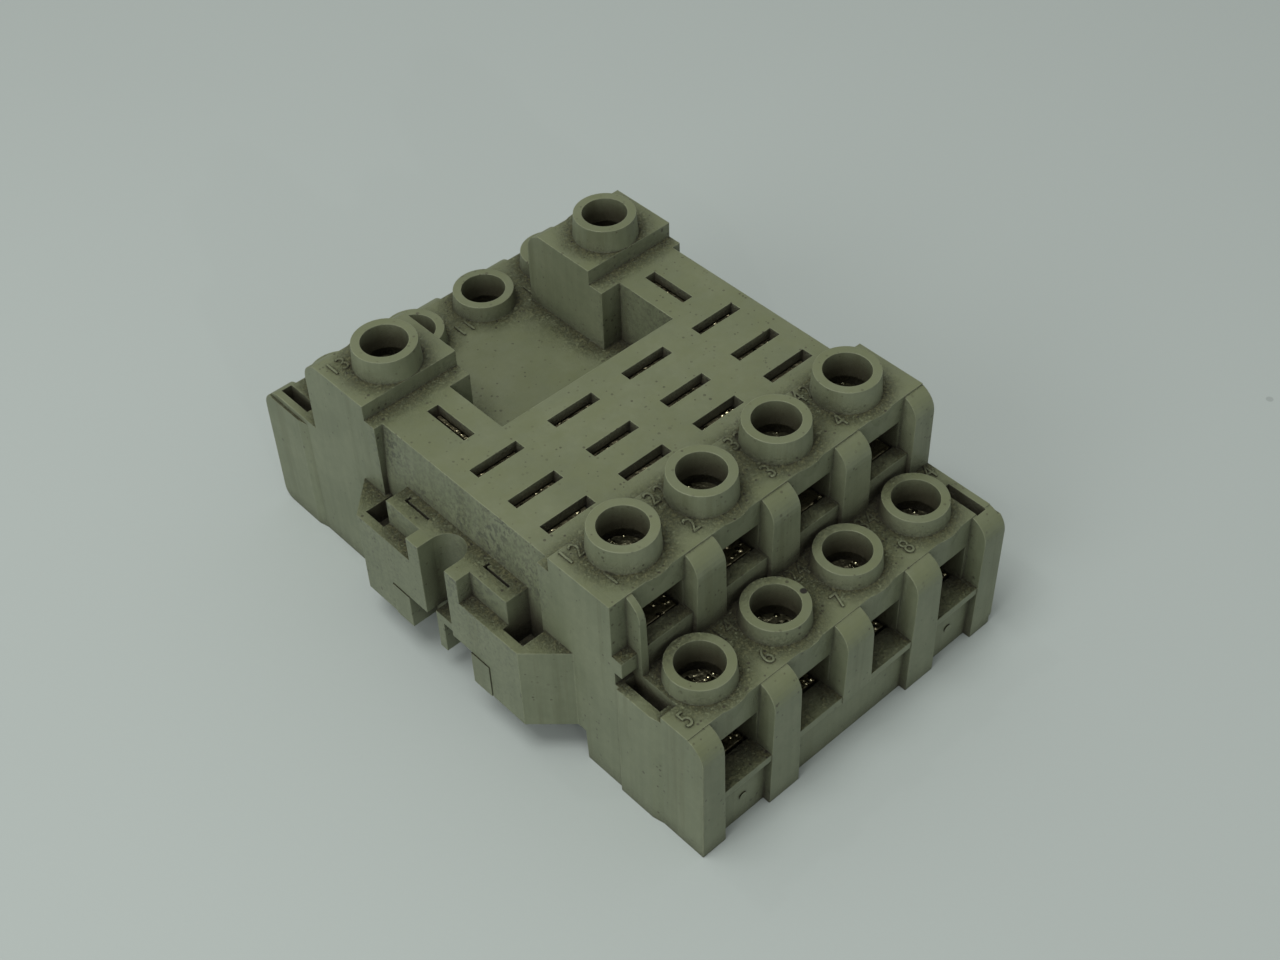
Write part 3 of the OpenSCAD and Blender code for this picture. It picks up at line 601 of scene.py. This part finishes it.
class SOCKET_OT_terminal_screws(bpy.types.Operator):
    """Dresses the terminal screws in tarnished plating"""
    bl_idname = "socket.terminal_screws"
    bl_label = "Terminal screws"

    def execute(self, context):
        metal = settings_of(context).metal
        plating = plated_metal("screw_plating", metal.screw, metal.tarnish_and_shade, 0.16, (6.0, 6.0, 6.0))
        for node in numbered("terminal_screw"):
            dress(node, plating)
        return {"FINISHED"}


class SOCKET_OT_terminal_numbers(bpy.types.Operator):
    """Raised, worn numbers beside the screw collars"""
    bl_idname = "socket.terminal_numbers"
    bl_label = "Terminal numbers"

    def execute(self, context):
        settings = settings_of(context)
        plastic = moulded_plastic("number_moulding", settings.moulding, shade=1.03, dusty=0.7)
        for count, (terminal, text, dx, dy) in enumerate(NUMBERS, 1):
            place = beside_screw(terminal, dx, dy, tier_height(terminal))
            raised_number("number_%d" % count, text, place, settings.numbers, plastic)
        return {"FINISHED"}


def raised_number(name, text, place, settings, material):
    """One number that stands slightly out of the plastic"""
    curve = bpy.data.curves.new(name, "FONT")
    curve.body = text
    curve.size = settings.height * FONT_PER_DIGIT
    curve.align_x = "CENTER"
    curve.align_y = "CENTER"
    curve.space_character = DIGIT_SPACING
    curve.extrude = settings.rise
    curve.bevel_depth = DIGIT_BEVEL
    curve.offset = -DIGIT_BEVEL
    source = bpy.data.objects.new(name, curve)
    bpy.context.scene.collection.objects.link(source)
    graph = bpy.context.evaluated_depsgraph_get()
    mesh = bpy.data.meshes.new_from_object(source.evaluated_get(graph))
    bpy.data.objects.remove(source)
    mesh.transform(Matrix.Translation(place) @ Matrix.Scale(DIGIT_NARROWING, 4, (1, 0, 0)))
    mesh.materials.clear()
    mesh.materials.append(material)
    piece = bpy.data.objects.new(name, mesh)
    bpy.context.scene.collection.objects.link(piece)
    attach(piece, ROOT_BODY)


class SOCKET_OT_stage(bpy.types.Operator):
    """Pale floor, soft light with a few glints, and the camera"""
    bl_idname = "socket.stage"
    bl_label = "Stage"

    def execute(self, context):
        settings = settings_of(context).stage
        make_floor(settings)
        make_lights(context, settings)
        make_camera(context, settings)
        context.scene.view_settings.view_transform = "Standard"
        return {"FINISHED"}


def make_floor(settings):
    """A wide sheet of pale card with faint clouds, a few specks and fibres"""
    nodes = NodeTree("pale_card")
    cloud = nodes.ramp(nodes.noise(0.006, detail=3.0), 0.35, 0.65, 0.0, 0.5)
    colour = nodes.mix(cloud, settings.floor, shaded(settings.floor, 0.97))
    specks = nodes.product(nodes.grains(0.06, 0.03, 0.5), 0.5)
    colour = nodes.mix(specks, colour, shaded(settings.floor, 0.6))
    fibres = nodes.bump(nodes.noise(1.5, detail=4.0), CARD_FIBRES, 0.4)
    card = nodes.surface(Base_Color=colour, Roughness=0.75, Normal=fibres)
    mesh = bpy.data.meshes.new("floor")
    build = bmesh.new()
    bmesh.ops.create_grid(build, x_segments=40, y_segments=40, size=1.2)
    build.to_mesh(mesh)
    build.free()
    mesh.materials.append(card)
    floor = bpy.data.objects.new("floor", mesh)
    bpy.context.scene.collection.objects.link(floor)
    floor.location.z = CAD_BOX[0][2]


def make_lights(context, settings):
    """Even light all round, two softboxes, and three small lamps that make the metal glint"""
    world = bpy.data.worlds.new("soft_room")
    context.scene.world = world
    world.use_nodes = True
    sky = world.node_tree.nodes["Background"]
    sky.inputs["Color"].default_value = (0.98, 1.0, 0.97, 1.0)
    sky.inputs["Strength"].default_value = settings.sky
    # name, place and diameter in metres, and power
    lamps = (
        ("softbox_overhead", (-0.16, 0.02, 0.55), 0.30, settings.softbox),
        ("softbox_left", (-0.45, -0.06, 0.30), 0.30, settings.softbox * 0.5),
        ("spark_rear", (-0.02, 0.22, 0.45), 0.010, settings.softbox * 0.04),
        ("spark_left", (-0.22, 0.02, 0.45), 0.010, settings.softbox * 0.04),
        ("spark_front", (-0.14, -0.34, 0.17), 0.010, settings.softbox * 0.06),
    )
    for name, place, size, power in lamps:
        light = bpy.data.lights.new(name, "AREA")
        light.shape = "DISK"
        light.size = size
        light.energy = power
        light.color = (1.0, 1.0, 0.97)
        lamp = bpy.data.objects.new(name, light)
        context.scene.collection.objects.link(lamp)
        lamp.location = place
        aim = Vector((0, 0, 10.0 * MM)) - lamp.location
        lamp.rotation_euler = aim.to_track_quat("-Z", "Y").to_euler()


def make_camera(context, settings):
    """Camera at its eye point, turned by azimuth, elevation and roll"""
    azimuth, elevation, roll = settings.azimuth, settings.elevation, settings.roll
    ahead = Vector((math.sin(azimuth), math.cos(azimuth), 0.0))
    forward = ahead * math.cos(elevation) - Vector((0.0, 0.0, math.sin(elevation)))
    level = Vector((math.cos(azimuth), -math.sin(azimuth), 0.0))
    above = level.cross(forward)
    right = level * math.cos(roll) + above * math.sin(roll)
    up = above * math.cos(roll) - level * math.sin(roll)
    turn = Matrix((right, up, -forward)).transposed().to_4x4()
    data = bpy.data.cameras.new("camera")
    data.sensor_width = 36.0
    data.lens = settings.lens
    data.clip_start = 0.01
    camera = bpy.data.objects.new("camera", data)
    context.scene.collection.objects.link(camera)
    camera.matrix_world = Matrix.Translation(Vector(settings.eye)) @ turn
    context.scene.camera = camera


class SOCKET_PT_panel(bpy.types.Panel):
    """Lists the socket's pieces and settings"""
    bl_label = "Relay socket"
    bl_idname = "SOCKET_PT_panel"
    bl_space_type = "VIEW_3D"
    bl_region_type = "UI"
    bl_category = "Socket"

    def draw(self, context):
        for operator in OPERATORS:
            self.layout.operator(operator.bl_idname)
        settings = settings_of(context)
        for group in (settings.moulding, settings.metal, settings.numbers, settings.stage):
            box = self.layout.box()
            for name in group.bl_rna.properties.keys():
                if name not in ("rna_type", "name"):
                    box.prop(group, name)


SETTINGS = (MouldingSettings, MetalSettings, NumberSettings, StageSettings, SocketSettings)
OPERATORS = (
    SOCKET_OT_mouldings,
    SOCKET_OT_contacts,
    SOCKET_OT_clamp_plates,
    SOCKET_OT_terminal_screws,
    SOCKET_OT_terminal_numbers,
    SOCKET_OT_stage,
)
CLASSES = SETTINGS + OPERATORS + (SOCKET_PT_panel,)


def register():
    for cls in CLASSES:
        bpy.utils.register_class(cls)
    bpy.types.Scene.relay_socket = bpy.props.PointerProperty(type=SocketSettings)


def unregister():
    del bpy.types.Scene.relay_socket
    for cls in reversed(CLASSES):
        bpy.utils.unregister_class(cls)


def main():
    register()
    for operator in OPERATORS:
        group, name = operator.bl_idname.split(".")
        getattr(getattr(bpy.ops, group), name)()


if __name__ == "__main__":
    main()
